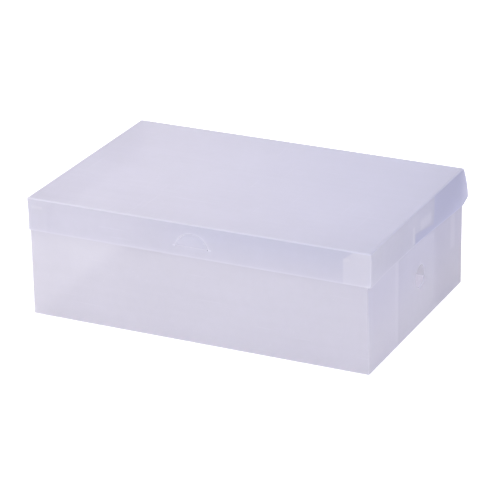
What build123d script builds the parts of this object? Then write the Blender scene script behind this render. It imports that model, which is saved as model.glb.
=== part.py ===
"""Folding shoe box of thin translucent plastic sheet, closed, lid creased to the rear wall.

Millimetres. X runs along the box, the front faces -Y, the box stands on Z = 0.
The origin is the middle of the box on the plane it stands on.
"""

import os

from build123d import *

os.makedirs("parts", exist_ok=True)

# ---- driving sizes -------------------------------------------------------
lid_length = 330.0
box_width = 220.0
box_height = 113.0
sheet = 0.6
skirt_drop = 31.0

# finger hole in each end wall
hole_diameter = 21.0
hole_height = 47.0
hole_setback = 7.0

# flaps folded in at the four upright corners of the base
flap_length = 66.0
flap_bevel = 7.0
flap_inset = 1.0

# tabs folded in behind the front skirt
tab_length = 24.0
tab_foot = 1.5
tab_neck = 1.5
tab_bevel_drop = 6.0
tab_bevel_run = 8.0

# thumb tongue cut in the front skirt
tongue_half_width = 15.5
tongue_rise = 12.3
tongue_offset = -2.3
tongue_foot = 9.5
relief_radius = 0.8
opening_margin = 2.0

# free rear half of each end skirt springs outwards
flare = 4.5
flare_start = -10.0
flare_stations = 8
flare_steps = 5
least_bow = 0.02
rear_taper_run = 12.0
rear_taper_rise = 4.0

# edge softening where the sheet is folded
fold_radius = 0.4

# ---- clearances ----------------------------------------------------------
end_gap = 0.4
front_gap = 0.2
top_gap = 0.4
hinge_gap = 0.1
crease_gap = 0.05
cut_width = 0.3

# ---- sizes that follow ---------------------------------------------------
lid_half = lid_length / 2
half_width = box_width / 2
lid_under = box_height - sheet
base_half = lid_half - sheet - end_gap
front_face = -half_width + 2 * sheet + 2 * front_gap
front_back = front_face + sheet
rear_face = half_width
rear_back = rear_face - sheet
wall_top = lid_under - top_gap
rear_top = lid_under - hinge_gap
skirt_top = lid_under - crease_gap
skirt_low = box_height - skirt_drop
skirt_inner = lid_half - sheet
skirt_front = -half_width + sheet + front_gap
end_inner = base_half - sheet
tongue_base = skirt_low + tongue_foot
base_mid = (front_face + rear_face) / 2
base_depth = rear_face - front_face


def upright(y):
    """Plane facing the front at this Y, drawn in X and Z."""
    return Plane(origin=(0, y, 0), x_dir=(1, 0, 0), z_dir=(0, -1, 0))


def endways(x):
    """Plane facing +X at this X, drawn in Y and Z."""
    return Plane(origin=(x, 0, 0), x_dir=(0, 1, 0), z_dir=(1, 0, 0))


def half_moon(half_width_mm, rise, foot):
    """Half-moon face on the front plane, standing on a straight foot line."""
    left = tongue_offset - half_width_mm
    right = tongue_offset + half_width_mm
    with BuildSketch(upright(-half_width)) as outline:
        with BuildLine():
            ThreePointArc((left, foot), (tongue_offset, foot + rise), (right, foot))
            Line((right, foot), (left, foot))
        make_face()
    return outline.sketch


def upright_edges(part, y):
    """Vertical edges of a panel that lie on the plane at this Y."""
    found = []
    for edge in part.edges().filter_by(Axis.Z):
        if abs(edge.center().Y - y) < 0.01:
            found.append(edge)
    return found


def end_wall_face(side):
    """End wall outline between the front and rear walls, with its finger hole."""
    with BuildSketch(endways(side * base_half)) as outline:
        with Locations(((front_back + rear_back) / 2, (sheet + wall_top) / 2)):
            Rectangle(rear_back - front_back, wall_top - sheet)
        with Locations((hole_setback, hole_height)):
            Circle(hole_diameter / 2, mode=Mode.SUBTRACT)
    return outline.sketch


def corner_flap_face(side, root, toward):
    """Flap outline on the inside of an end wall, from its root towards its free end."""
    low = sheet + flap_inset
    high = wall_top - flap_inset
    tip = root + toward * flap_length
    shoulder = tip - toward * flap_bevel
    with BuildSketch(endways(side * end_inner)) as outline:
        with BuildLine():
            Polyline(
                (root, low),
                (shoulder, low),
                (tip, low + flap_bevel),
                (tip, high - flap_bevel),
                (shoulder, high),
                (root, high),
                close=True,
            )
        make_face()
    return outline.sketch


def lean(share_along, share_down):
    """Outward shift of an end skirt at a share of its free length and of its drop."""
    ramp = share_along * share_along * (3 - 2 * share_along)
    bow = 1 - (1 - share_down) ** 2
    return max(flare * ramp, least_bow) * bow


def skirt_section(side, y, share_along):
    """Bowed cross-section of an end skirt at one place along it."""
    drop = skirt_top - skirt_low
    outer = []
    inner = []
    for step in range(flare_steps + 1):
        out = lean(share_along, step / flare_steps)
        z = skirt_top - drop * step / flare_steps
        outer.append((side * (lid_half + out), z))
        inner.append((side * (skirt_inner + out), z))
    with BuildSketch(upright(y)) as section:
        with BuildLine():
            Polyline(*outer, *reversed(inner), close=True)
        make_face()
    return section.sketch


def skirt_sections(side):
    """Sections of an end skirt, front to rear: straight first, then springing outwards."""
    sections = [skirt_section(side, skirt_front, 0)]
    for station in range(flare_stations + 1):
        share = station / flare_stations
        y = flare_start + share * (half_width - flare_start)
        sections.append(skirt_section(side, y, share))
    return sections


def rear_taper_face():
    """Sliver under the rear end of a skirt that its slanted corner leaves out."""
    back = half_width + sheet
    slope = rear_taper_rise / rear_taper_run
    with BuildSketch(endways(0)) as outline:
        with BuildLine():
            Polyline(
                (half_width - rear_taper_run, skirt_low),
                (back, skirt_low + slope * (rear_taper_run + sheet)),
                (back, skirt_low - sheet),
                (half_width - rear_taper_run, skirt_low - sheet),
                close=True,
            )
        make_face()
    return outline.sketch


def corner_tab_face(side):
    """Tapered tab outline behind the front skirt, from the end skirt inwards."""
    root = side * skirt_inner
    tip = side * (skirt_inner - tab_length)
    shoulder = side * (skirt_inner - tab_length + tab_bevel_run)
    top = lid_under - tab_neck
    with BuildSketch(upright(skirt_front)) as outline:
        with BuildLine():
            Polyline(
                (root, skirt_low + sheet),
                (tip, skirt_low + sheet + tab_foot),
                (tip, top - tab_bevel_drop),
                (shoulder, top),
                (root, top),
                close=True,
            )
        make_face()
    return outline.sketch


# ---- base ----------------------------------------------------------------
with BuildPart() as bottom_panel:
    with Locations((0, base_mid, sheet / 2)):
        Box(2 * base_half, base_depth, sheet)
    fillet(bottom_panel.edges().filter_by(Axis.Z), fold_radius)
    fillet(bottom_panel.faces().sort_by(Axis.Z)[0].edges(), fold_radius / 2)
bottom_panel.part.label = "bottom_panel"
export_step(bottom_panel.part, "parts/bottom_panel.step")

with BuildPart() as front_wall:
    with BuildSketch(upright(front_face)):
        with Locations((0, (sheet + wall_top) / 2)):
            Rectangle(2 * base_half, wall_top - sheet)
    extrude(amount=-sheet)
    fillet(upright_edges(front_wall.part, front_face), fold_radius)
    opening = half_moon(
        tongue_half_width + opening_margin,
        tongue_rise + 2 * opening_margin,
        tongue_base - opening_margin,
    )
    extrude(opening, amount=-4 * sheet, mode=Mode.SUBTRACT)
front_wall.part.label = "front_wall"
export_step(front_wall.part, "parts/front_wall.step")

with BuildPart() as rear_wall:
    with BuildSketch(upright(rear_face)):
        with Locations((0, (sheet + rear_top) / 2)):
            Rectangle(2 * base_half, rear_top - sheet)
    extrude(amount=sheet)
    fillet(upright_edges(rear_wall.part, rear_face), fold_radius)
rear_wall.part.label = "rear_wall"
export_step(rear_wall.part, "parts/rear_wall.step")

with BuildPart() as left_end_wall:
    extrude(end_wall_face(-1), amount=sheet)
left_end_wall.part.label = "left_end_wall"
export_step(left_end_wall.part, "parts/left_end_wall.step")

with BuildPart() as right_end_wall:
    extrude(end_wall_face(1), amount=-sheet)
right_end_wall.part.label = "right_end_wall"
export_step(right_end_wall.part, "parts/right_end_wall.step")

with BuildPart() as front_left_corner_flap:
    extrude(corner_flap_face(-1, front_back, 1), amount=sheet)
front_left_corner_flap.part.label = "front_left_corner_flap"
export_step(front_left_corner_flap.part, "parts/front_left_corner_flap.step")

with BuildPart() as front_right_corner_flap:
    extrude(corner_flap_face(1, front_back, 1), amount=-sheet)
front_right_corner_flap.part.label = "front_right_corner_flap"
export_step(front_right_corner_flap.part, "parts/front_right_corner_flap.step")

with BuildPart() as rear_left_corner_flap:
    extrude(corner_flap_face(-1, rear_back, -1), amount=sheet)
rear_left_corner_flap.part.label = "rear_left_corner_flap"
export_step(rear_left_corner_flap.part, "parts/rear_left_corner_flap.step")

with BuildPart() as rear_right_corner_flap:
    extrude(corner_flap_face(1, rear_back, -1), amount=-sheet)
rear_right_corner_flap.part.label = "rear_right_corner_flap"
export_step(rear_right_corner_flap.part, "parts/rear_right_corner_flap.step")

# ---- lid -----------------------------------------------------------------
with BuildPart() as lid_top:
    with Locations((0, 0, box_height - sheet / 2)):
        Box(lid_length, box_width, sheet)
    fillet(lid_top.edges().filter_by(Axis.Z), fold_radius)
    fillet(lid_top.faces().sort_by(Axis.Z)[-1].edges(), fold_radius / 2)
lid_top.part.label = "lid_top"
export_step(lid_top.part, "parts/lid_top.step")

with BuildPart() as front_skirt:
    with BuildSketch(upright(-half_width)):
        with Locations((0, (skirt_top + skirt_low) / 2)):
            Rectangle(lid_length, skirt_top - skirt_low)
    extrude(amount=-sheet)
    fillet(upright_edges(front_skirt.part, -half_width), fold_radius)
    window = half_moon(
        tongue_half_width + cut_width,
        tongue_rise + 2 * cut_width,
        tongue_base - cut_width,
    )
    extrude(window, amount=-sheet, mode=Mode.SUBTRACT)
    with BuildSketch(upright(-half_width)):
        with Locations(
            (tongue_offset - tongue_half_width - cut_width, tongue_base - cut_width),
            (tongue_offset + tongue_half_width + cut_width, tongue_base - cut_width),
        ):
            Circle(relief_radius)
    extrude(amount=-sheet, mode=Mode.SUBTRACT)
front_skirt.part.label = "front_skirt"
export_step(front_skirt.part, "parts/front_skirt.step")

with BuildPart() as thumb_tongue:
    extrude(half_moon(tongue_half_width, tongue_rise, tongue_base), amount=-sheet)
thumb_tongue.part.label = "thumb_tongue"
export_step(thumb_tongue.part, "parts/thumb_tongue.step")

with BuildPart() as left_end_skirt:
    sections = skirt_sections(-1)
    for front_section, rear_section in zip(sections, sections[1:]):
        loft([front_section, rear_section], ruled=True)
    extrude(rear_taper_face(), amount=-(lid_half + 2 * flare), mode=Mode.SUBTRACT)
left_end_skirt.part.label = "left_end_skirt"
export_step(left_end_skirt.part, "parts/left_end_skirt.step")

with BuildPart() as right_end_skirt:
    sections = skirt_sections(1)
    for front_section, rear_section in zip(sections, sections[1:]):
        loft([front_section, rear_section], ruled=True)
    extrude(rear_taper_face(), amount=lid_half + 2 * flare, mode=Mode.SUBTRACT)
right_end_skirt.part.label = "right_end_skirt"
export_step(right_end_skirt.part, "parts/right_end_skirt.step")

with BuildPart() as left_corner_tab:
    extrude(corner_tab_face(-1), amount=-sheet)
left_corner_tab.part.label = "left_corner_tab"
export_step(left_corner_tab.part, "parts/left_corner_tab.step")

with BuildPart() as right_corner_tab:
    extrude(corner_tab_face(1), amount=-sheet)
right_corner_tab.part.label = "right_corner_tab"
export_step(right_corner_tab.part, "parts/right_corner_tab.step")
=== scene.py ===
# %% [markdown]
# # A folding shoe box of milky plastic sheet
# The real box is one die-cut sheet of thin, milky polypropylene. It is creased, folded up and closed.
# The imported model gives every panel's place, so each new panel starts from its node's corners.

from math import radians

import bpy
from mathutils import Matrix, Vector


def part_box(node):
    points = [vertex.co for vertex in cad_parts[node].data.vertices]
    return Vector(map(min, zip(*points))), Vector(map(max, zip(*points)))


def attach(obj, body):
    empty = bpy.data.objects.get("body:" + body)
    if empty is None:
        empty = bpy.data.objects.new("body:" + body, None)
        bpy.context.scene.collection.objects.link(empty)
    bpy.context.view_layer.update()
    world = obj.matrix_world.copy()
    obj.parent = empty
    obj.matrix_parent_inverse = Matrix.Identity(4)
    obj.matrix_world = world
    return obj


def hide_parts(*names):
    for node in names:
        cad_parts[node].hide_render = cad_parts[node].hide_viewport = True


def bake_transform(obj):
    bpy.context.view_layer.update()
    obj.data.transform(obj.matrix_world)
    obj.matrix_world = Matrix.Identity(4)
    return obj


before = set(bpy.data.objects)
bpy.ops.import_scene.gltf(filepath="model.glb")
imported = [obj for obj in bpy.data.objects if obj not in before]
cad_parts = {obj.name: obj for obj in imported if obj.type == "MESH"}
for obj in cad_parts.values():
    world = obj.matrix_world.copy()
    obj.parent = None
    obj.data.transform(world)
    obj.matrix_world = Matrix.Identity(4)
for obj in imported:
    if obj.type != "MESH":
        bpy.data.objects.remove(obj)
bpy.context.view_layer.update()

# %% [markdown]
# ## Camera
# The view is from the front right and a little above, with a long lens.
# A long lens keeps the far end of the box almost as large as the near end, as a catalogue picture does.
# The camera is turned by three plain angles: round the box, down towards it, and a slight tilt.

# %% Camera
ROUND_THE_BOX = radians(25.608)
LOOKING_DOWN = radians(22.746)
TILT = radians(-0.878)

camera_data = bpy.data.cameras.new("catalogue_camera")
camera_data.lens = 187.2
camera_data.sensor_width = 36.0
camera_data.clip_end = 50.0
camera = bpy.data.objects.new("catalogue_camera", camera_data)
bpy.context.scene.collection.objects.link(camera)
camera.matrix_world = (
    Matrix.Translation((0.9411, -1.9613, 0.9594))
    @ Matrix.Rotation(ROUND_THE_BOX, 4, "Z")
    @ Matrix.Rotation(radians(90) - LOOKING_DOWN, 4, "X")
    @ Matrix.Rotation(TILT, 4, "Z")
)
bpy.context.scene.camera = camera
print("camera at", tuple(round(v, 3) for v in camera.location))

# %% [markdown]
# ## Small helpers for modelling by hand
# An edit-mode operator works on everything that is selected.
# So each helper first deselects all, then picks faces, edges or points by where they are.

# %% Helpers: select
MM = 0.001
NEAR = 0.01 * MM


def only(piece):
    """Makes one piece the only selected and active object."""
    bpy.ops.object.select_all(action="DESELECT")
    piece.select_set(True)
    bpy.context.view_layer.objects.active = piece


def pick(piece, kind, test):
    """Selects a piece's points, edges or faces whose middle passes a test, and stays in edit mode."""
    only(piece)
    bpy.ops.object.mode_set(mode="EDIT")
    bpy.ops.mesh.select_mode(type=kind)
    bpy.ops.mesh.select_all(action="DESELECT")
    bpy.ops.object.mode_set(mode="OBJECT")
    mesh = piece.data
    chosen = 0
    if kind == "VERT":
        for point in mesh.vertices:
            point.select = bool(test(point.co))
            chosen += point.select
    elif kind == "EDGE":
        for edge in mesh.edges:
            a, b = (mesh.vertices[i].co for i in edge.vertices)
            edge.select = bool(test(a, b))
            chosen += edge.select
    else:
        for face in mesh.polygons:
            face.select = bool(test(face.center, face.normal))
            chosen += face.select
    bpy.ops.object.mode_set(mode="EDIT")
    return chosen


print("points closer than", NEAR / MM, "mm count as the same place")

# %% [markdown]
# Every panel starts as a flat blank between two corners of its node.
# Rows of edges are cut across it where it has to bend, and slanting ends are trimmed off as with a knife.

# %% Helpers: blanks, rows and trimmed ends
def plate(name, low, high):
    """A flat blank between two corners, in metres, its place kept in its mesh."""
    low, high = Vector(low), Vector(high)
    bpy.ops.object.select_all(action="DESELECT")
    bpy.ops.mesh.primitive_cube_add(size=1, location=(low + high) / 2)
    piece = bpy.context.object
    piece.name = name
    piece.data.name = name
    piece.scale = high - low
    bpy.ops.object.transform_apply(location=True, rotation=True, scale=True)
    return piece


def steps(low, high, count):
    """Evenly spaced places strictly between two ends."""
    return [low + (high - low) * (n + 1) / (count + 1) for n in range(count)]


def slice_rows(piece, axis, places):
    """Cuts rows of edges across a piece at places along an axis."""
    only(piece)
    bpy.ops.object.mode_set(mode="EDIT")
    normal = [0, 0, 0]
    normal[axis] = 1
    for place in places:
        spot = [0, 0, 0]
        spot[axis] = place
        bpy.ops.mesh.select_all(action="SELECT")
        bpy.ops.mesh.bisect(plane_co=spot, plane_no=normal)
    bpy.ops.object.mode_set(mode="OBJECT")


def trim(piece, spot, away):
    """Cuts off what lies beyond a plane and closes the cut."""
    only(piece)
    bpy.ops.object.mode_set(mode="EDIT")
    bpy.ops.mesh.select_all(action="SELECT")
    bpy.ops.mesh.bisect(plane_co=spot, plane_no=away, use_fill=True, clear_outer=True)
    bpy.ops.object.mode_set(mode="OBJECT")


print("three rows between 0 and 4:", steps(0, 4, 3))

# %% [markdown]
# A die punches holes, and a crease rounds the corner where two panels meet.
# A Boolean modifier is the punch here, and a bevel on picked edges is the rounding.

# %% Helpers: rounded edges and punches
def round_edges(piece, test, width, segments=3):
    """Rounds the edges that pass a test."""
    found = pick(piece, "EDGE", test)
    if found:
        bpy.ops.mesh.bevel(offset=width, segments=segments, affect="EDGES")
    bpy.ops.object.mode_set(mode="OBJECT")
    return found


def rod(name, centre, radius, length, axis, sides=96):
    """A round bar along an axis, used as a punch or as the start of a round piece."""
    turn = {0: (0, radians(90), 0), 1: (radians(90), 0, 0), 2: (0, 0, 0)}[axis]
    bpy.ops.object.select_all(action="DESELECT")
    bpy.ops.mesh.primitive_cylinder_add(
        vertices=sides, radius=radius, depth=length, location=centre, rotation=turn
    )
    piece = bpy.context.object
    piece.name = name
    piece.data.name = name
    bpy.ops.object.transform_apply(location=True, rotation=True, scale=True)
    return piece


def punch(piece, cutter):
    """Cuts a hole with another shape, as a die does, and takes that shape away."""
    only(piece)
    cut = piece.modifiers.new("punch", "BOOLEAN")
    cut.operation = "DIFFERENCE"
    cut.solver = "EXACT"
    cut.object = cutter
    bpy.ops.object.modifier_apply(modifier=cut.name)
    bpy.data.objects.remove(cutter)


print("ready to round and punch")

# %% [markdown]
# Thin sheet is never quite flat. Moving the middle with soft falloff bows a panel, as a finger would.

# %% Helpers: smooth, bow and measure
def smooth(piece, angle=35):
    """Smooth shading over gentle curves, with sharp edges kept."""
    only(piece)
    bpy.ops.object.shade_smooth_by_angle(angle=radians(angle))


def bow(piece, axis, amount, test, reach):
    """Pushes the middle of a sheet out, fading to nothing over a reach."""
    shift = [0, 0, 0]
    shift[axis] = amount
    found = pick(piece, "VERT", test)
    bpy.ops.transform.translate(
        value=shift,
        use_proportional_edit=True,
        proportional_edit_falloff="SMOOTH",
        proportional_size=reach,
    )
    bpy.ops.object.mode_set(mode="OBJECT")
    return found


def size_mm(piece):
    """A piece's size in whole and tenth millimetres, for printing."""
    points = [v.co for v in piece.data.vertices]
    return tuple(
        round((max(p[i] for p in points) - min(p[i] for p in points)) / MM, 1)
        for i in range(3)
    )


print("ready to smooth, bow and measure")

# %% [markdown]
# ## Sizes shared by the folded sheet
# Every fold is a quarter turn with an outside radius of one millimetre, because the sheet is 0.6 mm thick.
# The panels stop short of the corner by that radius, and a separate fold strip goes round it.

# %% Shared sizes
SHEET = 0.6 * MM
FOLD = 1.0 * MM
lid_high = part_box("lid_top")[1]
top_z = lid_high.z
half_length = lid_high.x
half_width = lid_high.y
skirt_drop = top_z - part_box("front_skirt")[0].z
print("lid", round(2 * half_length / MM, 1), "by", round(2 * half_width / MM, 1), "mm")
print("skirts hang", round(skirt_drop / MM, 1), "mm")

# %% [markdown]
# ## Floor and light
# The box stands on a plain pale floor that runs on out of view, in a white room lit from all round.
# The room is a little dimmer and cooler on the right, so the right end reads as the shaded side.
# The floor glows a little, as a lit table does, so that some light enters through the bottom panel.
# A soft lamp at the left gives that end more light than the right one.

# %% Floor, room and lamps
LIT_SIDE = (1.02, 1.0, 0.98, 1)
SHADED_SIDE = (0.66, 0.67, 0.76, 1)
FLOOR_GLOW = 0.36

scene = bpy.context.scene
scene.view_settings.view_transform = "Standard"
scene.view_settings.look = "None"
scene.cycles.max_bounces = 16
scene.cycles.diffuse_bounces = 10
scene.cycles.transparent_max_bounces = 32

bpy.ops.object.select_all(action="DESELECT")
bpy.ops.mesh.primitive_plane_add(size=24, location=(0, 0, -0.0002))
floor = bpy.context.object
floor.name = "pale_floor"

floor_paint = bpy.data.materials.new("pale_floor_paint")
floor_paint.use_nodes = True
floor_shader = floor_paint.node_tree.nodes["Principled BSDF"]
floor_shader.inputs["Roughness"].default_value = 0.9
floor_shader.inputs["Base Color"].default_value = (0.97, 0.97, 0.97, 1)
floor_shader.inputs["Specular IOR Level"].default_value = 0.1
floor_shader.inputs["Emission Color"].default_value = (1, 1, 1, 1)
floor_shader.inputs["Emission Strength"].default_value = FLOOR_GLOW
floor.data.materials.append(floor_paint)

room = bpy.data.worlds.new("white_room")
room.use_nodes = True
aim = room.node_tree.nodes.new("ShaderNodeTexCoord").outputs["Generated"]
sides = room.node_tree.nodes.new("ShaderNodeSeparateXYZ")
fade = room.node_tree.nodes.new("ShaderNodeMapRange")
tones = room.node_tree.nodes.new("ShaderNodeMix")
tones.data_type = "RGBA"
fade.inputs["From Min"].default_value = -0.6
fade.inputs["From Max"].default_value = 0.9
tones.inputs["A"].default_value = LIT_SIDE
tones.inputs["B"].default_value = SHADED_SIDE
room.node_tree.links.new(aim, sides.inputs[0])
room.node_tree.links.new(sides.outputs["X"], fade.inputs["Value"])
room.node_tree.links.new(fade.outputs["Result"], tones.inputs["Factor"])
room.node_tree.links.new(tones.outputs["Result"], room.node_tree.nodes["Background"].inputs["Color"])
room.node_tree.nodes["Background"].inputs["Strength"].default_value = 1.08
scene.world = room


def lamp(name, place, aim, power, wide):
    """A soft square lamp at a place, turned towards a point."""
    data = bpy.data.lights.new(name, "AREA")
    data.energy = power
    data.size = wide
    light = bpy.data.objects.new(name, data)
    scene.collection.objects.link(light)
    light.location = place
    light.rotation_euler = (Vector(aim) - Vector(place)).to_track_quat("-Z", "Y").to_euler()
    return light


lamp("left_softbox", (-1.15, -0.7, 1.0), (-0.1, 0, 0.06), 7, 0.9)
lamp("overhead_softbox", (-0.3, 0.3, 2.6), (0, 0, 0.05), 9, 2.4)

# %% [markdown]
# ## The milky sheet
# Polypropylene sheet lets light through but blurs it, so it looks milky, and its surface is satin.
# The material mixes three shaders. Transparent shows what lies behind, Translucent carries blurred light
# through, and Principled gives the pale body colour and the soft gloss.
# One shared group makes the cloudiness, the fine lines left by the rollers, scratches and dust.
# Nodes could be added and linked one by one, but short helpers keep each pattern on one line.

# %% Helpers: shader nodes
def open_group(name, inputs, outputs):
    """A new shader node group with named sockets."""
    group = bpy.data.node_groups.new(name, "ShaderNodeTree")
    for label, kind, value in inputs:
        socket = group.interface.new_socket(name=label, in_out="INPUT", socket_type=kind)
        socket.default_value = value
    for label, kind in outputs:
        group.interface.new_socket(name=label, in_out="OUTPUT", socket_type=kind)
    return group, group.nodes.new("NodeGroupInput"), group.nodes.new("NodeGroupOutput")


def math_node(tree, kind, a, b=None, c=None):
    """One Math node fed by sockets or plain numbers, giving its result."""
    node = tree.nodes.new("ShaderNodeMath")
    node.operation = kind
    for slot, value in enumerate((a, b, c)):
        if value is None:
            continue
        if isinstance(value, (int, float)):
            node.inputs[slot].default_value = value
        else:
            tree.links.new(value, node.inputs[slot])
    return node.outputs[0]


def stretch(tree, coords, scale, turn=(0, 0, 0)):
    """Coordinates squeezed and turned, so that a round pattern becomes streaks."""
    node = tree.nodes.new("ShaderNodeMapping")
    node.inputs["Scale"].default_value = scale
    node.inputs["Rotation"].default_value = turn
    tree.links.new(coords, node.inputs["Vector"])
    return node.outputs["Vector"]


def noise(tree, coords, scale, detail=2.0, rough=0.5):
    """Noise between 0 and 1 at a scale in bumps per metre."""
    node = tree.nodes.new("ShaderNodeTexNoise")
    node.inputs["Scale"].default_value = scale
    node.inputs["Detail"].default_value = detail
    node.inputs["Roughness"].default_value = rough
    tree.links.new(coords, node.inputs["Vector"])
    return node.outputs["Fac"]


def ramp(tree, value, low, high, out_low=0.0, out_high=1.0, soft=True):
    """A smooth step from one value to another."""
    node = tree.nodes.new("ShaderNodeMapRange")
    node.interpolation_type = "SMOOTHSTEP" if soft else "LINEAR"
    node.inputs["From Min"].default_value = low
    node.inputs["From Max"].default_value = high
    node.inputs["To Min"].default_value = out_low
    node.inputs["To Max"].default_value = out_high
    tree.links.new(value, node.inputs["Value"])
    return node.outputs["Result"]


print("node helpers ready")

# %% [markdown]
# Clouds are wide soft patches and mottle is finer. Rolled lines run along X, as the rollers left them.
# Scratches are noise stretched two ways, with all but its peaks cut off. Dust is a few tiny cells.
# Painted images could hold these, but noise in Object coordinates needs no file and has no seams.

# %% Group: cloudiness, roller lines, scratches and dust
milk, milk_in, milk_out = open_group(
    "milky_sheet",
    [("Cloudiness", "NodeSocketFloat", 1.0), ("Wear", "NodeSocketFloat", 1.0)],
    [
        ("Shade", "NodeSocketFloat"),
        ("Haze", "NodeSocketFloat"),
        ("Roughness", "NodeSocketFloat"),
        ("Height", "NodeSocketFloat"),
    ],
)
place = milk.nodes.new("ShaderNodeTexCoord").outputs["Object"]
clouds = ramp(milk, noise(milk, place, 9.0, 3.0), 0.3, 0.7, -1.0, 1.0)
mottle = ramp(milk, noise(milk, place, 130.0, 3.0, 0.6), 0.3, 0.7, -1.0, 1.0)
rolled = ramp(milk, noise(milk, stretch(milk, place, (2, 170, 170)), 1.0, 3.0), 0.3, 0.7, -1, 1)
scratch_a = ramp(
    milk, noise(milk, stretch(milk, place, (14, 420, 420), (0.5, 0.4, 0.62)), 1.0, 1.0), 0.71, 0.76
)
scratch_b = ramp(
    milk, noise(milk, stretch(milk, place, (380, 11, 380), (0.3, 0.5, -0.45)), 1.0, 1.0), 0.72, 0.77
)
scratches = math_node(milk, "MAXIMUM", scratch_a, scratch_b)
dust_cells = milk.nodes.new("ShaderNodeTexVoronoi")
dust_cells.inputs["Scale"].default_value = 160.0
milk.links.new(place, dust_cells.inputs["Vector"])
dust_here = ramp(milk, noise(milk, place, 42.0, 2.0), 0.56, 0.66)
dust = math_node(milk, "MULTIPLY", ramp(milk, dust_cells.outputs["Distance"], 0.13, 0.05), dust_here)
shade = math_node(milk, "MULTIPLY", clouds, 0.006)
shade = math_node(milk, "MULTIPLY_ADD", mottle, 0.007, shade)
shade = math_node(milk, "MULTIPLY_ADD", rolled, 0.006, shade)
shade = math_node(milk, "MULTIPLY", shade, milk_in.outputs["Cloudiness"])
worn = math_node(milk, "MULTIPLY", scratches, milk_in.outputs["Wear"])
marked = math_node(milk, "MULTIPLY", dust, milk_in.outputs["Wear"])
shade = math_node(milk, "MULTIPLY_ADD", worn, 0.006, shade)
shade = math_node(milk, "MULTIPLY_ADD", marked, -0.02, shade)
milk.links.new(math_node(milk, "ADD", shade, 1.0), milk_out.inputs["Shade"])
haze = math_node(milk, "MULTIPLY_ADD", worn, 0.03, math_node(milk, "MULTIPLY", clouds, 0.012))
milk.links.new(haze, milk_out.inputs["Haze"])
rough = math_node(milk, "MULTIPLY_ADD", mottle, 0.04, 0.36)
rough = math_node(milk, "MULTIPLY_ADD", worn, 0.1, rough)
milk.links.new(rough, milk_out.inputs["Roughness"])
peel = noise(milk, place, 700.0, 2.0)
height = math_node(milk, "MULTIPLY_ADD", rolled, 0.5, math_node(milk, "MULTIPLY", peel, 0.6))
height = math_node(milk, "MULTIPLY_ADD", worn, -0.5, height)
milk.links.new(height, milk_out.inputs["Height"])
print("group", milk.name, "with", len(milk.nodes), "nodes")

# %% [markdown]
# ## Whitened lines
# A cut edge or a crease scatters light, so it shows as a thin whiter line.
# It could be a strip of mesh with a material of its own. A mask by place costs no faces and stays soft.
# So a second group gives a mask that is one on a line and fades to nothing a little to each side.

# %% Group: a line on the sheet
line_group, line_in, line_out = open_group(
    "whitened_line",
    [
        ("Place", "NodeSocketFloat", 0.0),
        ("Line", "NodeSocketFloat", 0.0),
        ("Half width", "NodeSocketFloat", 0.001),
    ],
    [("Mask", "NodeSocketFloat")],
)
gap = math_node(line_group, "SUBTRACT", line_in.outputs["Place"], line_in.outputs["Line"])
gap = math_node(line_group, "ABSOLUTE", gap)
share = math_node(line_group, "DIVIDE", gap, line_in.outputs["Half width"])
line_group.links.new(ramp(line_group, share, 1.0, 0.45), line_out.inputs["Mask"])
print("group", line_group.name, "ready")

# %% [markdown]
# ## Marks on one panel
# Marks on one panel only are masks painted by place, and most are painted light and shade, such as the pale
# patch where a second layer lies behind it. Each mask is one inside its patch, and fades to nothing over a
# soft edge.
# Two real layers could show this by themselves, but the sheet's shaders don't blur a layer with distance.

# %% Masks by place
def band(tree, value, low, high, soft):
    """One between two places, fading out over a soft edge."""
    up = ramp(tree, value, low - soft / 2, low + soft / 2)
    down = ramp(tree, value, high + soft / 2, high - soft / 2)
    return math_node(tree, "MULTIPLY", up, down)


def patch(tree, split, spans, soft):
    """One inside a box-shaped patch. Each span is (axis, low, high)."""
    mask = None
    for axis, low, high in spans:
        part = band(tree, split.outputs[axis], low, high, soft)
        mask = part if mask is None else math_node(tree, "MULTIPLY", mask, part)
    return mask


def tint(tree, colour, mask, shade, strength):
    """Mixes a shade into the colour where the mask is."""
    mix = tree.nodes.new("ShaderNodeMix")
    mix.data_type = "RGBA"
    tree.links.new(math_node(tree, "MULTIPLY", mask, strength), mix.inputs["Factor"])
    tree.links.new(colour, mix.inputs["A"])
    mix.inputs["B"].default_value = (*shade, 1)
    return mix.outputs["Result"]


print("masks ready: band, patch and tint")

# %% [markdown]
# ## Colours
# All panels are the same sheet, so the body colours differ only as painted light and shade.
# A panel with others close behind it looks darker, so each gets its own body colour. The cooler shades are
# painted shade for the side turned away from the lamp and for sheet with only air behind.

# %% Colours
BODY = (0.808, 0.798, 0.866)
SKIRT_BODY = (0.772, 0.764, 0.835)
# Painted shade: the tongue is darker, so the light that comes through the opening behind it doesn't show.
TONGUE_BODY = (0.720, 0.714, 0.790)
# Painted light: the tongue's fold is paler, so no dark line shows along the tongue's foot.
TONGUE_FOLD_BODY = (0.83, 0.82, 0.875)
BASE_BODY = (0.731, 0.721, 0.774)
# Painted light: the bottom panel is paler, so it reads bright through the finger holes.
FLOOR_BODY = (0.925, 0.915, 0.94)
FLAP_BODY = (0.90, 0.88, 0.93)
FOLD_BODY = (0.785, 0.775, 0.845)
FRONT_FOLD_BODY = (0.785, 0.777, 0.848)
# Pale tint for whitened creases and cut edges, and also for painted light and painted highlights.
WHITENED_AND_LIT = (0.95, 0.94, 0.97)
COOL_FRONT = (0.64, 0.65, 0.80)
COOL_END = (0.56, 0.56, 0.76)
COOL_LID = (0.61, 0.64, 0.82)
COOL_SKIRT = (0.62, 0.64, 0.81)
HANGING = (0.60, 0.63, 0.79)
SPRUNG = (0.605, 0.61, 0.765)
print("lid body colour", BODY)

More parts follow.
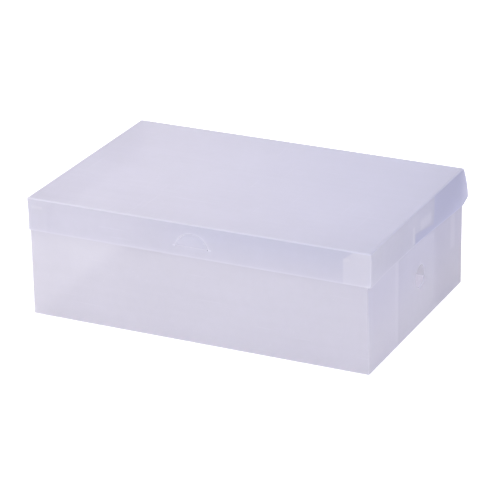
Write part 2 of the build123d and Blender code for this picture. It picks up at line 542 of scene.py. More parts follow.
# %% [markdown]
# ## Sheet material
# One Principled shader with transmission could be used, but it bends light as a solid block does.
# Mixing Transparent and Translucent under the Principled lets a single thin sheet pass and blur light.
# cover is how much of the sheet hides what lies behind, and glow is the share of light that goes through.

# %% Sheet material
PLASTIC_IOR = 1.49
CLEAR_TINT = (0.98, 0.975, 0.99, 1)


def sheet_material(name, body=BODY, cover=0.70, lines=(), glow=0.42, marks=None):
    """Milky sheet with whitened lines. Each line is (axis, place, half width, strength)."""
    material = bpy.data.materials.new(name)
    material.use_nodes = True
    tree = material.node_tree
    gloss = tree.nodes["Principled BSDF"]
    output = tree.nodes["Material Output"]
    base = tree.nodes.new("ShaderNodeGroup")
    base.node_tree = milk
    spot = tree.nodes.new("ShaderNodeTexCoord").outputs["Object"]
    split = tree.nodes.new("ShaderNodeSeparateXYZ")
    tree.links.new(spot, split.inputs[0])
    tone = tree.nodes.new("ShaderNodeMix")
    tone.data_type = "RGBA"
    tone.blend_type = "MULTIPLY"
    tone.inputs["Factor"].default_value = 1.0
    tone.inputs["A"].default_value = (*body, 1)
    tree.links.new(base.outputs["Shade"], tone.inputs["B"])
    colour = tone.outputs["Result"]
    solid = math_node(tree, "ADD", base.outputs["Haze"], cover)
    if marks is not None:
        colour, solid = marks(tree, split, colour, solid)
    mask = None
    for axis, where, half, strength in lines:
        mark = tree.nodes.new("ShaderNodeGroup")
        mark.node_tree = line_group
        tree.links.new(split.outputs[axis], mark.inputs["Place"])
        mark.inputs["Line"].default_value = where
        mark.inputs["Half width"].default_value = half
        part = math_node(tree, "MULTIPLY", mark.outputs["Mask"], strength)
        mask = part if mask is None else math_node(tree, "MAXIMUM", mask, part)
    if mask is not None:
        colour = tint(tree, colour, mask, WHITENED_AND_LIT, 1.0)
        solid = math_node(tree, "MULTIPLY_ADD", mask, 0.25, solid)
    tree.links.new(colour, gloss.inputs["Base Color"])
    tree.links.new(solid, gloss.inputs["Alpha"])
    tree.links.new(base.outputs["Roughness"], gloss.inputs["Roughness"])
    gloss.inputs["IOR"].default_value = PLASTIC_IOR
    bump = tree.nodes.new("ShaderNodeBump")
    bump.inputs["Strength"].default_value = 0.25
    bump.inputs["Distance"].default_value = 0.0002
    tree.links.new(base.outputs["Height"], bump.inputs["Height"])
    tree.links.new(bump.outputs["Normal"], gloss.inputs["Normal"])
    through = tree.nodes.new("ShaderNodeBsdfTranslucent")
    tree.links.new(colour, through.inputs["Color"])
    clear = tree.nodes.new("ShaderNodeBsdfTransparent")
    clear.inputs["Color"].default_value = CLEAR_TINT
    veil = tree.nodes.new("ShaderNodeMixShader")
    veil.inputs["Fac"].default_value = cover
    tree.links.new(clear.outputs[0], veil.inputs[1])
    tree.links.new(through.outputs[0], veil.inputs[2])
    sheet = tree.nodes.new("ShaderNodeMixShader")
    sheet.inputs["Fac"].default_value = glow
    tree.links.new(gloss.outputs[0], sheet.inputs[1])
    tree.links.new(veil.outputs[0], sheet.inputs[2])
    tree.links.new(sheet.outputs[0], output.inputs["Surface"])
    return material


print("sheet material helper ready")

# %% [markdown]
# ## Base: bottom panel and the four walls
# Each wall is a flat blank with rows cut across it, so that it can bow a little as thin sheet does.
# The corners where the sheet is folded are rounded. The finger holes and the half-moon are punched last.
# A panel that is drawn in or pushed out at one corner is pressed: its points are moved by a rule of place.

# %% Pressing a sheet out of flat
def press(piece, shift):
    """Moves each vertex by shift(place). Vertices that move alike are picked and moved together."""
    groups = {}
    for vertex in piece.data.vertices:
        move = tuple(round(part, 5) for part in shift(vertex.co))
        if any(move):
            groups.setdefault(move, set()).add(vertex.index)
    for move, members in groups.items():
        only(piece)
        bpy.ops.object.mode_set(mode="EDIT")
        bpy.ops.mesh.select_mode(type="VERT")
        bpy.ops.mesh.select_all(action="DESELECT")
        bpy.ops.object.mode_set(mode="OBJECT")
        for vertex in piece.data.vertices:
            vertex.select = vertex.index in members
        bpy.ops.object.mode_set(mode="EDIT")
        bpy.ops.transform.translate(value=move)
        bpy.ops.object.mode_set(mode="OBJECT")


def ease(value):
    """Rises smoothly from 0 to 1."""
    value = min(1.0, max(0.0, value))
    return value * value * (3 - 2 * value)


print("halfway, the ease is", ease(0.5))

# %% [markdown]
# The front right corner is the one that isn't square. The tab tucked behind it pushes the lid out there,
# and the base below is drawn in a little. Both fade to nothing along the panels that meet at the corner.

# %% The uneven front right corner
LEAN_IN = 1.5 * MM
PUSHED_OUT = 1.1 * MM
CORNER_BACK = -0.078
CORNER_FRONT = -half_width + FOLD
CORNER_ROWS = steps(CORNER_FRONT, CORNER_BACK, 8)


def lean(place):
    """The front right corner of the base is drawn in a little towards its top."""
    up = ease(place.z / 0.085)
    near = ease((place.x - 0.10) / 0.06) * ease((-0.035 - place.y) / 0.07)
    return (-LEAN_IN * up * near, 0, 0)


def spread(place):
    """The front right corner of the lid is pushed out a little by the tab tucked behind it."""
    back = (CORNER_BACK - place.y) / (CORNER_BACK - CORNER_FRONT)
    near = ease((place.x - 0.1615) / 0.002) * ease(back)
    return (PUSHED_OUT * near, 0, 0)


print("corner rows at", [round(y / MM, 1) for y in CORNER_ROWS], "mm")

# %% [markdown]
# ## Bottom panel
# The bottom panel joins all four walls, and the box stands on it.
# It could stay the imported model's flat piece, but the walls are folded up along its edges.
# So its lower edges are rounded, and whitened lines mark the four creases.

# %% Bottom panel
CREASE_ROUND = 0.4 * MM


def finish_panel(piece, node, body, material):
    """Gives a panel its finish, its body and the node that it stands for."""
    piece.data.materials.clear()
    piece.data.materials.append(material)
    smooth(piece)
    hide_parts(node)
    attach(piece, body)
    print(piece.name, size_mm(piece), "mm,", len(piece.data.polygons), "faces")


low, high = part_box("bottom_panel")
bottom = plate("base_floor", low, high)
slice_rows(bottom, 0, steps(low.x, high.x, 15))
slice_rows(bottom, 1, steps(low.y, high.y, 11))
round_edges(
    bottom,
    lambda a, b: max(a.z, b.z) < low.z + NEAR
    and (
        min(abs(a.x), abs(b.x)) > high.x - NEAR
        or min(a.y, b.y) > high.y - NEAR
        or max(a.y, b.y) < low.y + NEAR
    ),
    CREASE_ROUND,
)
floor_lines = [
    (0, low.x, 0.0016, 0.4),
    (0, high.x, 0.0016, 0.4),
    (1, low.y, 0.0016, 0.4),
    (1, high.y, 0.0016, 0.4),
]
finish_panel(
    bottom, "bottom_panel", "base", sheet_material("sheet_floor", FLOOR_BODY, 0.85, floor_lines)
)

# %% [markdown]
# ## The half-moon punch
# The same half-moon is used three times: for the opening in the front wall, for the cut in the skirt and
# for the tongue itself. It is part of a circle, so its radius follows from the tongue's width and height.
# Its outline could be drawn as a curve. A round bar trimmed flat gives it in two steps, with any margin.

# %% The half-moon punch
tongue_low, tongue_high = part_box("thumb_tongue")
TONGUE_X = (tongue_low.x + tongue_high.x) / 2
TONGUE_HALF = (tongue_high.x - tongue_low.x) / 2
TONGUE_RISE = tongue_high.z - tongue_low.z
TONGUE_RADIUS = (TONGUE_HALF**2 + TONGUE_RISE**2) / (2 * TONGUE_RISE)
TONGUE_MIDDLE = tongue_high.z - TONGUE_RADIUS


def moon_punch(name, grow, y, deep):
    """A punch in the tongue's half-moon shape, made larger all round by a margin."""
    tool = rod(name, (TONGUE_X, y, TONGUE_MIDDLE), TONGUE_RADIUS + grow, deep, 1)
    trim(tool, (TONGUE_X, y, tongue_low.z - grow), (0, 0, -1))
    return tool


print("tongue", round(2 * TONGUE_HALF / MM, 1), "mm wide and", round(TONGUE_RISE / MM, 1), "mm tall")

# %% [markdown]
# ## Front wall
# The front wall is the panel under the lid's front skirt, with an opening that the tongue is pushed into.
# It could be a filled outline with the opening drawn in it. A blank with rows across it is used instead,
# because the rows let it bow out by a fraction of a millimetre, and the opening is punched as on a press.

# %% Front wall
OPENING_MARGIN = 2.0 * MM
low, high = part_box("front_wall")


def same_end(a, b, reach):
    """True for an edge whose two points both lie at the same end of a long panel."""
    return min(abs(a.x), abs(b.x)) > reach - NEAR and a.x * b.x > 0


front = plate("front_wall_sheet", low, high)
slice_rows(front, 0, steps(low.x, high.x, 31))
slice_rows(front, 2, steps(low.z, high.z, 11))
bow(front, 1, -0.0007, lambda p: abs(p.x) < 0.09 and abs(p.z - 0.042) < 0.006, 0.038)
press(front, lean)
punch(front, moon_punch("moon_tool", OPENING_MARGIN, (low.y + high.y) / 2, 4 * MM))
round_edges(
    front, lambda a, b: same_end(a, b, high.x) and max(a.y, b.y) < low.y + 10 * NEAR, CREASE_ROUND
)
wall_lines = [
    (0, low.x, 0.0014, 0.12),
    (0, high.x, 0.0014, 0.12),
    (2, 0.0, 0.0016, 0.3),
    (2, high.z, 0.0010, 0.3),
]


def front_marks(tree, split, colour, solid):
    """Painted light at the left, where the lit end wall glows through, and bluer painted shade to the right.
    """
    x, z = split.outputs[0], split.outputs[2]
    edge = math_node(tree, "MULTIPLY_ADD", z, 1.107, -0.1605)
    glow = ramp(tree, math_node(tree, "SUBTRACT", x, edge), 0.010, -0.014)
    cool = ramp(tree, x, -0.16, 0.20)
    colour = tint(tree, colour, cool, COOL_FRONT, 0.10)
    colour = tint(tree, colour, glow, WHITENED_AND_LIT, 0.20)
    return colour, solid


finish_panel(
    front,
    "front_wall",
    "base",
    sheet_material("sheet_front", BASE_BODY, lines=wall_lines, marks=front_marks),
)

# %% [markdown]
# ## Rear wall
# The rear wall carries the lid. It stops one fold radius below the top, where the fold strip takes over.
# It could be a turned copy of the front wall, but it is taller and has no opening, so it is made by itself.

# %% Rear wall
low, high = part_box("rear_wall")
rear = plate("rear_wall_sheet", low, (high.x, high.y, top_z - FOLD))
slice_rows(rear, 0, steps(low.x, high.x, 31))
slice_rows(rear, 2, steps(low.z, high.z, 11))
bow(rear, 1, -0.0008, lambda p: abs(p.x) < 0.09 and abs(p.z - 0.056) < 0.006, 0.05)
round_edges(
    rear, lambda a, b: same_end(a, b, high.x) and min(a.y, b.y) > high.y - 10 * NEAR, CREASE_ROUND
)
finish_panel(
    rear, "rear_wall", "base", sheet_material("sheet_rear", BASE_BODY, lines=wall_lines[:3])
)

# %% [markdown]
# ## End walls
# Each end wall has a round finger hole, by which the box is pulled off a shelf.
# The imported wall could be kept, but its rim is sharp and it can't lean in at the corner.
# So the wall is made again and pressed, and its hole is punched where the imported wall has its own.

# %% End walls
HOLE_RADIUS = 10.5 * MM
HOLE_SPOT = (7 * MM, 47 * MM)


def near_rim(a, b):
    """True for an edge on the rim of a finger hole."""
    for p in (a, b):
        reach = ((p.y - HOLE_SPOT[0]) ** 2 + (p.z - HOLE_SPOT[1]) ** 2) ** 0.5
        if abs(reach - HOLE_RADIUS) > 2 * NEAR:
            return False
    return abs(a.x - b.x) < NEAR / 10


def end_wall(side, node):
    """One end wall with its finger hole, its rim eased so that it is kind to a finger."""
    low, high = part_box(node)
    wall = plate(node + "_sheet", low, high)
    slice_rows(wall, 1, steps(low.y, high.y, 21))
    slice_rows(wall, 2, steps(low.z, high.z, 11))
    middle = (low.x + high.x) / 2
    press(wall, lean)
    punch(wall, rod("finger_punch", (middle, *HOLE_SPOT), HOLE_RADIUS, 10 * MM, 0))
    round_edges(wall, near_rim, 0.15 * MM, 2)
    return wall


# %% [markdown]
# A corner flap lies right behind the front third of each end wall, so painted light makes the wall paler
# there.
# Its free edge is a soft upright stripe of painted light, and the rear flap pales the rear part a little.
# The wall is painted bluer towards its top as shade, and a paler upright streak lies near its rear.
# The rim of the punched hole is whitened, as a cut edge is.

# %% Marks on the end walls
end_low, end_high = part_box("right_end_wall")
end_lines = [
    (1, end_low.y, 0.0012, 0.15),
    (1, end_high.y, 0.0012, 0.15),
    (2, 0.0, 0.0016, 0.3),
    (2, end_high.z, 0.0010, 0.3),
]


def end_marks(tree, split, colour, solid):
    """Painted light over the flaps behind, painted shade towards the top, and a whitened rim round the hole.
    """
    reach = ((split.outputs[1], HOLE_SPOT[0]), (split.outputs[2], HOLE_SPOT[1]))
    y, z = (math_node(tree, "SUBTRACT", value, middle) for value, middle in reach)
    reach = math_node(tree, "MULTIPLY_ADD", y, y, math_node(tree, "MULTIPLY", z, z))
    rim = ramp(tree, math_node(tree, "SQRT", reach), HOLE_RADIUS + 0.0012, HOLE_RADIUS + 0.0002)
    # Painted shade: bluer towards the top of the wall.
    cool = ramp(tree, split.outputs[2], 0.010, 0.075)
    colour = tint(tree, colour, cool, COOL_END, 0.30)
    # Painted light where the flaps lie behind the wall, and along the front flap's free edge.
    flap_behind = patch(tree, split, ((1, -0.2, -0.043),), 0.0015)
    flap_edge = patch(tree, split, ((1, -0.050, -0.044), (2, 0.006, 0.098)), 0.004)
    rear_behind = patch(tree, split, ((1, 0.043, 0.2),), 0.0015)
    streak = patch(tree, split, ((1, 0.081, 0.091), (2, 0.044, 0.078)), 0.006)
    colour = tint(tree, colour, flap_behind, WHITENED_AND_LIT, 0.22)
    colour = tint(tree, colour, flap_edge, WHITENED_AND_LIT, 0.12)
    colour = tint(tree, colour, rear_behind, WHITENED_AND_LIT, 0.05)
    colour = tint(tree, colour, streak, WHITENED_AND_LIT, 0.20)
    colour = tint(tree, colour, rim, WHITENED_AND_LIT, 0.15)
    return colour, math_node(tree, "MULTIPLY_ADD", rim, 0.2, solid)


end_finish = sheet_material("sheet_end", BASE_BODY, lines=end_lines, marks=end_marks)
for side, node in ((-1, "left_end_wall"), (1, "right_end_wall")):
    finish_panel(end_wall(side, node), node, "base", end_finish)

# %% [markdown]
# ## Corner flaps
# The front and rear walls run on past their ends as flaps, which lie flat inside the end walls.
# Their free corners are cut off at a slant so that they slip into place.
# One flap could be mirrored to the other corners. A helper that reads each flap's node makes all four
# instead, so that no mesh is turned inside out by a mirror.

# %% Corner flaps
FLAP_BEVEL = 7 * MM


def corner_flap(node):
    """A flap blank with its two free corners cut at a slant."""
    low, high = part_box(node)
    flap = plate(node + "_sheet", low, high)
    slice_rows(flap, 1, steps(low.y, high.y, 7))
    slice_rows(flap, 2, steps(low.z, high.z, 11))
    press(flap, lean)
    free = high.y if "front" in node else low.y
    toward = 1 if "front" in node else -1
    trim(flap, (0, free, high.z - FLAP_BEVEL), (0, toward, 1))
    trim(flap, (0, free, low.z + FLAP_BEVEL), (0, toward, -1))
    free_line = (1, free, 0.0011, 0.08)
    return flap, free_line


for node in (
    "front_left_corner_flap",
    "front_right_corner_flap",
    "rear_left_corner_flap",
    "rear_right_corner_flap",
):
    flap, free_line = corner_flap(node)
    finish_panel(
        flap, node, "base", sheet_material("sheet_" + node, FLAP_BODY, 0.45, [free_line], 0.6)
    )

# %% [markdown]
# ## Lid
# The lid's top panel sags by under a millimetre in the middle.
# A cloth simulation could sag it, but stiff sheet only bows, so its middle is moved with a soft falloff.
# Its skirts hang from rounded fold strips. Each strip bends with its joint, so the fold never opens.

# %% Lid top
inner_x = half_length - FOLD
inner_y = half_width - FOLD
lid = plate("lid_top_sheet", (-inner_x, -inner_y, top_z - SHEET), (inner_x, inner_y, top_z))
slice_rows(lid, 0, steps(-inner_x, inner_x, 31))
slice_rows(lid, 1, steps(CORNER_BACK, inner_y, 18) + CORNER_ROWS + [CORNER_BACK])
press(lid, spread)
bow(lid, 2, -0.0009, lambda p: abs(p.x) < 0.08 and abs(p.y) < 0.02, 0.085)
lid_lines = [(1, -inner_y, 0.0014, 0.12)]


def lid_marks(tree, split, colour, solid):
    """Painted shade: the sheet is a little bluer towards the right end, away from the lamp."""
    cool = ramp(tree, math_node(tree, "MULTIPLY_ADD", split.outputs[1], 0.5, split.outputs[0]), -0.17, 0.23)
    colour = tint(tree, colour, cool, COOL_LID, 0.33)
    return colour, solid


finish_panel(
    lid, "lid_top", "lid", sheet_material("sheet_lid", lines=lid_lines, marks=lid_marks)
)

# %% [markdown]
# ## Front skirt
# The front skirt hangs from the lid's front crease and covers the top of the front wall.
# Its right end stands out past the corner, because the tab behind it pushes. Its left end is cut slanting.
# A lattice could shape it. Only its two ends move, so a few rows are cut there and their points are moved.

# %% Front skirt
END_ROW = 0.1635
low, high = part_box("front_skirt")
skirt = plate("front_skirt_sheet", low, (high.x, high.y, top_z - FOLD))
slice_rows(skirt, 0, steps(low.x, high.x, 31))
slice_rows(skirt, 2, steps(low.z, high.z, 3))
slice_rows(skirt, 0, [-END_ROW, END_ROW, 0.1645])


def skirt_ends(place):
    """The right end stands out past the corner, and the left end is cut slightly slanting."""
    down = (top_z - place.z) / skirt_drop
    right = 0.0012 * ease((place.x - END_ROW) / 0.0015) * (1 - 0.75 * ease((down - 0.86) / 0.14))
    left = 0.0014 * ease((-END_ROW - place.x) / 0.0015) * down
    return (right + left, 0, 0)


slice_rows(skirt, 2, [0.084, 0.0855, 0.087])
press(skirt, skirt_ends)
print("front skirt pressed,", len(skirt.data.vertices), "points")

# %% [markdown]
# The half-moon cut leaves the tongue free, and a small round hole at each foot keeps the sheet from tearing.
# Both could be drawn in the skirt's outline, but punching them keeps the rows of the skirt as they are.

# %% The cut round the tongue
CUT = 0.3 * MM
RELIEF_RADIUS = 0.4 * MM
middle_y = (low.y + high.y) / 2
punch(skirt, moon_punch("moon_cut", CUT, middle_y, 4 * MM))
for side in (-1, 1):
    spot = (TONGUE_X + side * (TONGUE_HALF + 0.1 * MM), middle_y, tongue_low.z - CUT)
    punch(skirt, rod("relief_punch", spot, RELIEF_RADIUS, 4 * MM, 1, 16))
round_edges(skirt, lambda a, b: same_end(a, b, high.x) and max(a.y, b.y) < low.y + 10 * NEAR, 0.3 * MM)
print("cut", CUT / MM, "mm wide;", len(skirt.data.polygons), "faces")

# %% [markdown]
# Sheet that has been cut or strained is whiter, so a fine pale line follows the half-moon and its two feet.
# The distance from the half-moon's centre gives that line, whichever panel it is drawn on.

# %% Marks along the half-moon
skirt_lines = [
    (2, low.z, 0.0021, 0.13),
    (2, top_z - FOLD, 0.0010, 0.05),
]


def moon_edge(grow):
    """Returns the marks that whiten the sheet along the half-moon cut and its two short feet."""

    def marks(tree, split, colour, solid):
        x = math_node(tree, "SUBTRACT", split.outputs[0], TONGUE_X)
        z = math_node(tree, "SUBTRACT", split.outputs[2], TONGUE_MIDDLE)
        reach = math_node(tree, "MULTIPLY_ADD", x, x, math_node(tree, "MULTIPLY", z, z))
        away = math_node(tree, "SUBTRACT", math_node(tree, "SQRT", reach), TONGUE_RADIUS + grow)
        near = ramp(tree, math_node(tree, "ABSOLUTE", away), 0.0012, 0.0002)
        above = ramp(tree, split.outputs[2], tongue_low.z - 0.0008, tongue_low.z)
        rim = math_node(tree, "MULTIPLY", near, above)
        out = math_node(tree, "ABSOLUTE", x)
        foot = band(tree, out, TONGUE_HALF, TONGUE_HALF + 0.003, 0.0008)
        level = band(tree, split.outputs[2], tongue_low.z - 0.0007, tongue_low.z + 0.0007, 0.0008)
        rim = math_node(tree, "MAXIMUM", rim, math_node(tree, "MULTIPLY", foot, level))
        colour = tint(tree, colour, rim, WHITENED_AND_LIT, 0.16)
        return colour, math_node(tree, "MULTIPLY_ADD", rim, 0.15, solid)

    return marks


print("half-moon radius", round(TONGUE_RADIUS / MM, 2), "mm")

# %% [markdown]
# Painted light makes the skirt pale where a corner tab lies right behind it, and painted shade makes it bluer
# and darker where only air does, and towards the right. A painted glint sits at each tab's upper corner.
# The tab's slanting upper corner shows through, so the pale patch has the same slant as the tab.

# %% Marks on the skirt
TAB_RUN = 8 * MM
TAB_DROP = 6 * MM
TAB_TIP = 0.1405
TAB_CORNER = 0.1048


def skirt_marks(tree, split, colour, solid):
    """Painted shade where the skirt hangs free, painted light where a tab lies behind, and painted glints."""
    x, z = split.outputs[0], split.outputs[2]
    rise = TAB_DROP / TAB_RUN
    slant = math_node(tree, "MULTIPLY_ADD", x, rise, TAB_CORNER - TAB_TIP * rise)
    # Painted light where the right corner tab lies behind the skirt, following the tab's slant.
    under = ramp(tree, math_node(tree, "SUBTRACT", slant, z), -0.0008, 0.0012)
    past = ramp(tree, x, 0.1475, 0.1500)
    tab = ramp(tree, x, TAB_TIP - 1 * MM, TAB_TIP + 1 * MM)
    right = math_node(tree, "MULTIPLY", tab, math_node(tree, "MAXIMUM", under, past))
    # Painted glint at the upper corner of the right corner tab.
    corner = patch(tree, split, ((0, TAB_TIP, TAB_TIP + 6 * MM), (2, 0.103, 0.1055)), 0.002)
    # Painted shade, bluer and darker, where the skirt hangs free with only air behind.
    free = math_node(tree, "MULTIPLY", ramp(tree, x, -0.075, 0.030), ramp(tree, z, 0.082, 0.110))
    free = math_node(tree, "MULTIPLY", free, math_node(tree, "SUBTRACT", 1.0, right))
    # Painted shade, a little bluer towards the right.
    cool = ramp(tree, x, -0.16, 0.20)
    colour = tint(tree, colour, cool, COOL_SKIRT, 0.12)
    colour = tint(tree, colour, free, HANGING, 0.24)
    # Painted light where the left corner tab lies behind, and a painted glint at its upper corner.
    left = patch(tree, split, ((0, -0.2, -0.146),), 0.004)
    left_top = patch(tree, split, ((0, -0.161, -0.150), (2, 0.1035, 0.106)), 0.002)
    colour = tint(tree, colour, right, WHITENED_AND_LIT, 0.27)
    colour = tint(tree, colour, corner, WHITENED_AND_LIT, 0.20)
    colour = tint(tree, colour, left, WHITENED_AND_LIT, 0.10)
    colour = tint(tree, colour, left_top, WHITENED_AND_LIT, 0.30)
    return moon_edge(0.0003)(tree, split, colour, solid)


finish_panel(
    skirt,
    "front_skirt",
    "front_skirt",
    sheet_material("sheet_front_skirt", SKIRT_BODY, lines=skirt_lines, marks=skirt_marks),
)

# %% [markdown]
# ## Thumb tongue
# The half-moon left inside the cut is the tongue that a thumb pushes in to hold the lid shut.
# It could be kept from the punching. It is made with the same punch, without the margin, so the gap between
# the two is the width of the cut. Its foot is left off, because a fold strip of its own stands there.

# %% Thumb tongue
HINGE_REACH = 0.6 * MM
tongue = moon_punch("thumb_tongue_sheet", 0.0, middle_y, SHEET)
trim(tongue, (0, middle_y, tongue_low.z + HINGE_REACH), (0, 0, -1))
round_edges(
    tongue, lambda a, b: abs(a.y - b.y) < NEAR / 10 and min(a.z, b.z) > tongue_low.z + MM, 0.12 * MM, 2
)
finish_panel(
    tongue,
    "thumb_tongue",
    "thumb_tongue",
    sheet_material("sheet_tongue", TONGUE_BODY, marks=skirt_marks),
)

# %% [markdown]
# ## End skirts
# Each end skirt is held at the front by its tab, and its free rear half springs outwards.
# A bend modifier could curve it evenly. Each row is moved by a formula instead, because the spring starts
# from nothing at one place, grows towards the rear, and leaves the crease where it is.

# %% End skirts
FLARE = 4.5 * MM
FLARE_FROM = -0.010
TAPER_RUN = 12 * MM
TAPER_AWAY = (0, 0.316, -0.949)


def end_skirt(side, node):
    """An end skirt, straight at the front, whose free rear half springs outwards."""
    low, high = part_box(node)
    inside = half_length - SHEET
    xs = sorted((side * inside, side * half_length))
    piece = plate(node + "_sheet", (xs[0], low.y, low.z), (xs[1], high.y, top_z - FOLD))
    rows = [FLARE_FROM + (high.y - FLARE_FROM) * n / 16 for n in range(16)]
    levels = steps(low.z, top_z - FOLD, 5)
    slice_rows(piece, 1, CORNER_ROWS + steps(CORNER_BACK, FLARE_FROM, 5) + [CORNER_BACK] + rows)
    slice_rows(piece, 2, levels)
    drop = top_z - FOLD - low.z
    for y in rows[1:] + [high.y]:
        along = (y - FLARE_FROM) / (high.y - FLARE_FROM)
        for z in levels + [low.z]:
            down = (top_z - FOLD - z) / drop
            out = FLARE * ease(along) * (1 - (1 - down) ** 2)
            pick(piece, "VERT", lambda p: abs(p.y - y) < NEAR and abs(p.z - z) < NEAR)
            bpy.ops.transform.translate(value=(side * out, 0, 0))
            bpy.ops.object.mode_set(mode="OBJECT")
    if side > 0:
        press(piece, spread)
    trim(piece, (0, high.y - TAPER_RUN, low.z), TAPER_AWAY)
    return piece


print("skirts spring out by", FLARE / MM, "mm")

# %% [markdown]
# Where the skirt springs away from the wall only air lies behind it, so painted shade makes it darker and
# bluer there. The edge of that patch is the line along which skirt and wall part, so it slants.
# A painted glint and a thin upright stripe of painted highlight sit on the middle of the skirt.

# %% Marks on the end skirts
def sprung_marks(tree, split, colour, solid):
    """Painted darker and bluer shade where the skirt springs from the wall, and a painted glint and stripe.
    """
    y, z = split.outputs[1], split.outputs[2]
    low_part = math_node(tree, "MULTIPLY_ADD", y, -0.13, 0.0915)
    below = math_node(tree, "SUBTRACT", z, low_part)
    lens = math_node(tree, "MULTIPLY", ramp(tree, below, 0.0012, -0.0012), ramp(tree, y, -0.0095, -0.006))
    slant = math_node(tree, "MULTIPLY_ADD", math_node(tree, "SUBTRACT", z, 0.082), 0.18, 0.031)
    rear = ramp(tree, math_node(tree, "SUBTRACT", y, slant), -0.002, 0.003)
    free = math_node(tree, "MAXIMUM", lens, rear)
    # Fainter painted shade where skirt and wall begin to part.
    parting_shade = patch(tree, split, ((1, -0.002, 0.040),), 0.020)
    # Painted highlights: a glint and a thin upright stripe.
    glint = patch(tree, split, ((1, 0.004, 0.028), (2, 0.091, 0.101)), 0.006)
    stripe = patch(tree, split, ((1, -0.0135, -0.0085), (2, 0.085, 0.100)), 0.003)
    # Painted shade that deepens from the front of the skirt towards its middle.
    colour = tint(tree, colour, ramp(tree, y, -0.11, -0.02), SPRUNG, 0.15)
    colour = tint(tree, colour, parting_shade, SPRUNG, 0.18)
    colour = tint(tree, colour, glint, WHITENED_AND_LIT, 0.30)
    colour = tint(tree, colour, stripe, WHITENED_AND_LIT, 0.35)
    colour = tint(tree, colour, free, SPRUNG, 1.0)
    return colour, math_node(tree, "MULTIPLY_ADD", free, 0.15, solid)


end_skirt_lines = [(2, low.z, 0.0010, 0.15)]
skirt_finish = sheet_material("sheet_end_skirt", SKIRT_BODY, lines=end_skirt_lines, marks=sprung_marks)
for side, name in ((-1, "left"), (1, "right")):
    node = name + "_end_skirt"
    finish_panel(end_skirt(side, node), node, name + "_skirt", skirt_finish)

# %% [markdown]
# ## Corner tabs
# Each end skirt runs on at its front end as a tab, folded in behind the front skirt, which holds the corner.
# Its outline could be drawn point by point. A blank trimmed twice at a slant gives the same shape, and its
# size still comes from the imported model.

# %% Corner tabs
TAB_FOOT = 1.5 * MM


def corner_tab(side, node):
    """A tapered tab blank, cut at a slant along its foot and its upper corner."""
    low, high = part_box(node)
    tab = plate(node + "_sheet", low, high)
    tip = low.x if side > 0 else high.x
    shoulder = tip + side * TAB_RUN
    trim(tab, (shoulder, 0, high.z), (-side * TAB_DROP / MM, 0, TAB_RUN / MM))
    trim(tab, (tip, 0, low.z + TAB_FOOT), (-side * TAB_FOOT / MM, 0, (low.x - high.x) / MM))
    return tab


for side, name in ((-1, "left"), (1, "right")):
    node = name + "_corner_tab"
    low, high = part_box(node)
    tab_lines = [
        (0, low.x if side > 0 else high.x, 0.0010, 0.9),
        (2, high.z, 0.0012, 0.9),
    ]
    finish_panel(
        corner_tab(side, node),
        node,
        name + "_skirt",
        sheet_material("sheet_" + node, lines=tab_lines),
    )

# %% [markdown]
# ## Fold strips
# A crease is the sheet bent round a quarter turn and whitened by the bend.
# The panels could simply meet, but a gap would open there when the lid swings.
# So each strip starts as a thin face and is spun a quarter turn between the two panels it joins.

# %% Finish of the folds
front_fold_finish = sheet_material("sheet_front_fold", FRONT_FOLD_BODY, 0.85, glow=0.3, marks=lid_marks)
fold_finish = sheet_material("sheet_fold", FOLD_BODY, 0.8, glow=0.3, marks=lid_marks)
print("fold finishes:", front_fold_finish.name, "and", fold_finish.name)


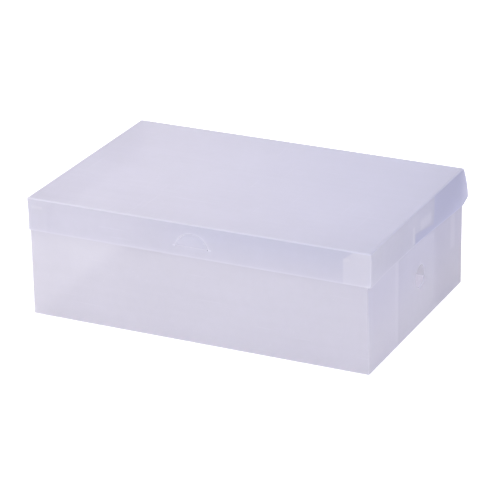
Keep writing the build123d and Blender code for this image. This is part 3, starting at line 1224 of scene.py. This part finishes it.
# %% Spinning one fold strip
def fold_strip(name, start, centre, axis, length_span, turn):
    """A quarter-round fold. start is the inside and outside point of its first edge."""
    across = {0: 1, 1: 0}[axis]
    inside, outside = start
    bpy.ops.object.select_all(action="DESELECT")
    bpy.ops.mesh.primitive_plane_add(size=1, location=(0, 0, 0))
    strip = bpy.context.object
    strip.name = name
    strip.data.name = name
    width = abs(outside - inside)
    size = [0, 0, 1]
    size[axis] = length_span[1] - length_span[0]
    size[across] = width
    strip.scale = size
    middle = [0, 0, centre[1]]
    middle[axis] = (length_span[0] + length_span[1]) / 2
    middle[across] = (inside + outside) / 2
    strip.location = middle
    bpy.ops.object.transform_apply(location=True, rotation=True, scale=True)
    bpy.ops.object.mode_set(mode="EDIT")
    bpy.ops.mesh.select_all(action="SELECT")
    pivot = [0, 0, centre[1]]
    pivot[across] = centre[0]
    direction = [0, 0, 0]
    direction[axis] = 1
    bpy.ops.mesh.spin(steps=6, angle=radians(turn), center=pivot, axis=direction)
    bpy.ops.mesh.select_all(action="SELECT")
    bpy.ops.mesh.normals_make_consistent(inside=False)
    bpy.ops.object.mode_set(mode="OBJECT")
    if name == "right_fold":
        slice_rows(strip, 1, CORNER_ROWS + [CORNER_BACK])
        press(strip, spread)
    if name == "front_fold":
        slice_rows(strip, 0, [0.1615, 0.1625, 0.164])
        press(strip, spread)
    strip.data.materials.append(front_fold_finish if name == "front_fold" else fold_finish)
    smooth(strip, 50)
    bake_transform(strip)
    print(name, size_mm(strip), "mm")
    return strip


print("a fold is", FOLD / MM, "mm in radius")

# %% [markdown]
# The rear strip joins the base to the lid, and the other three join the lid to its skirts.
# The front strip runs a little further at both ends, to cover the corners where three folds meet.

# %% The four fold strips
fold_z = top_z - FOLD
front_y = -half_width + FOLD
rear_y = half_width - FOLD
side_x = half_length - FOLD
fold_strip(
    "rear_fold",
    (half_width - SHEET, half_width),
    (rear_y, fold_z),
    0,
    (-side_x + 0.2 * MM, side_x - 0.2 * MM),
    -90,
)
fold_strip(
    "front_fold",
    (-half_width + SHEET, -half_width),
    (front_y, fold_z),
    0,
    (-side_x - 0.8 * MM, side_x + 0.8 * MM),
    90,
)
for side, name in ((-1, "left"), (1, "right")):
    fold_strip(
        name + "_fold",
        (side * (half_length - SHEET), side * half_length),
        (side * side_x, fold_z),
        1,
        (front_y, rear_y),
        90 * side,
    )

# %% [markdown]
# ## Tongue fold
# The tongue bends along its straight foot, where the sheet isn't cut.
# It could be part of the tongue's mesh, but it is made as a piece of its own between skirt and tongue.
# It is a little thinner than the sheet, as a worked crease is.

# %% Tongue fold
FOOT_INSET = 1.1 * MM
HINGE_HALF = 0.2 * MM
web_low = tongue_low.z - CUT
web_high = tongue_low.z + HINGE_REACH
web = plate(
    "tongue_fold",
    (tongue_low.x + FOOT_INSET, middle_y - HINGE_HALF, web_low),
    (tongue_high.x - FOOT_INSET, middle_y + HINGE_HALF, web_high),
)
slice_rows(web, 2, steps(web_low, web_high, 4))
web.data.materials.append(sheet_material("sheet_tongue_fold", TONGUE_FOLD_BODY, marks=skirt_marks))
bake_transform(web)
print("tongue_fold", size_mm(web), "mm")
